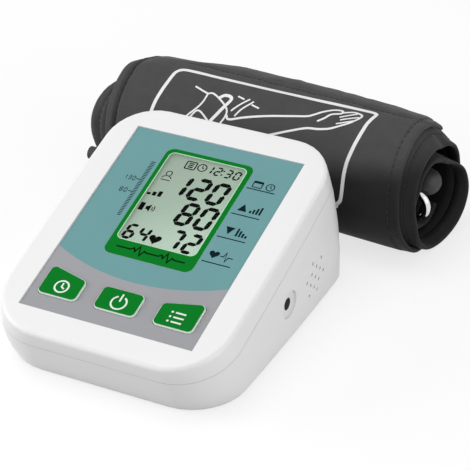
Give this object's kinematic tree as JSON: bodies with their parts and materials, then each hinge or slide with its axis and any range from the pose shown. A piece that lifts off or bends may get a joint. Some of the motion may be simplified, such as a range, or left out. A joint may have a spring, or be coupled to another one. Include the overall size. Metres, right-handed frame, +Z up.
{
  "type": "blood pressure monitor",
  "caption": "Table-top blood pressure monitor: white wedge housing with a printed panel, display, keys and air socket, and its black arm cuff rolled up behind it.",
  "frame": {"origin": "on the table, below the middle of the monitor's base", "axes": "+X to the right, +Y to the rear, +Z up"},
  "size_m": [0.1715, 0.1924, 0.0592],
  "materials": {
    "housing_white": "fine satin moulded plastic",
    "panel_film": "printed film, satin",
    "window_clear": "clear window with a green printed border",
    "display_glass": "display glass with dark segments",
    "key_green": "satin plastic with a white sign",
    "inner_plastic": "plain moulded plastic",
    "inner_plastic_dark": "plain moulded plastic",
    "soft_strip": "soft conductive strip",
    "board": "circuit board with solder mask",
    "chip": "moulded chip packages",
    "bare_metal": "plain sheet metal",
    "soft_tube": "clear soft tube",
    "socket_white": "moulded plastic",
    "cell_jacket": "plain cell jacket",
    "contact": "plated spring steel",
    "foot_rubber": "matt rubber",
    "screw_steel": "plated steel",
    "wire": "wire insulation",
    "cuff_cloth": "fine woven nylon, black",
    "cuff_lining": "smooth nylon lining, black",
    "bladder_rubber": "thin rubber bladder",
    "hook_tape": "hook tape",
    "sleeve_cloth": "padded nylon",
    "ring_metal": "polished wire",
    "outlet_rubber": "moulded rubber"
  },
  "bodies": {
    "monitor": {"top_cover": "housing_white", "bottom_cover": "housing_white", "front_panel": "panel_film", "display_window": "window_clear", "lcd_panel": "display_glass", "lcd_frame": "inner_plastic", "lcd_connectors": "soft_strip", "main_board": "board", "board_chips": "chip", "switch_bodies": "bare_metal", "pressure_sensor": "inner_plastic", "pump_motor": "bare_metal", "pump_head": "inner_plastic_dark", "exhaust_valve": "bare_metal", "air_manifold": "inner_plastic", "pump_tube": "soft_tube", "valve_tube": "soft_tube", "sensor_tube": "soft_tube", "socket_tube": "soft_tube", "air_socket": "socket_white", "socket_ring": "inner_plastic_dark", "speaker": "inner_plastic_dark", "battery_cells": "cell_jacket", "battery_springs": "contact", "battery_plates": "contact", "rubber_feet": "foot_rubber", "cover_screws": "screw_steel", "board_screws": "screw_steel", "pump_wires": "wire", "speaker_wires": "wire", "battery_wires": "wire"},
    "set_key": {"set_button": "key_green", "set_switch_stem": "inner_plastic_dark"},
    "power_key": {"power_button": "key_green", "power_switch_stem": "inner_plastic_dark"},
    "memory_key": {"memory_button": "key_green", "memory_switch_stem": "inner_plastic_dark"},
    "door": {"battery_door": "housing_white"},
    "cuff": {"cuff_cover": "cuff_cloth", "cuff_lining": "cuff_lining", "cuff_bladder": "bladder_rubber", "hook_patch": "hook_tape", "ring_sleeve": "sleeve_cloth", "hose_outlet": "outlet_rubber"},
    "ring": {"d_ring": "ring_metal"}
  },
  "joints": [
    {"name": "set_press", "type": "slide", "parent": "monitor", "child": "set_key", "axis": [0, 0.2763, -0.9611], "range_m": [0, 0.0004], "stiffness_N_per_m": 2000},
    {"name": "power_press", "type": "slide", "parent": "monitor", "child": "power_key", "axis": [0, 0.2763, -0.9611], "range_m": [0, 0.0004], "stiffness_N_per_m": 2000},
    {"name": "memory_press", "type": "slide", "parent": "monitor", "child": "memory_key", "axis": [0, 0.2763, -0.9611], "range_m": [0, 0.0004], "stiffness_N_per_m": 2000},
    {"name": "door_hinge", "type": "hinge", "parent": "monitor", "child": "door", "pos_m": [0, -0.036, 0.0026], "axis": [-1, 0, 0], "range_deg": [0, 80]},
    {"name": "cuff_away", "type": "slide", "parent": "monitor", "child": "cuff", "axis": [0, 1, 0], "range_m": [0, 0.1]},
    {"name": "ring_swing", "type": "hinge", "parent": "cuff", "child": "ring", "pos_m": [-0.0001, 0.0924, 0.0251], "axis": [0.9983, -0.0589, 0], "range_deg": [-18, 18]}
  ]
}
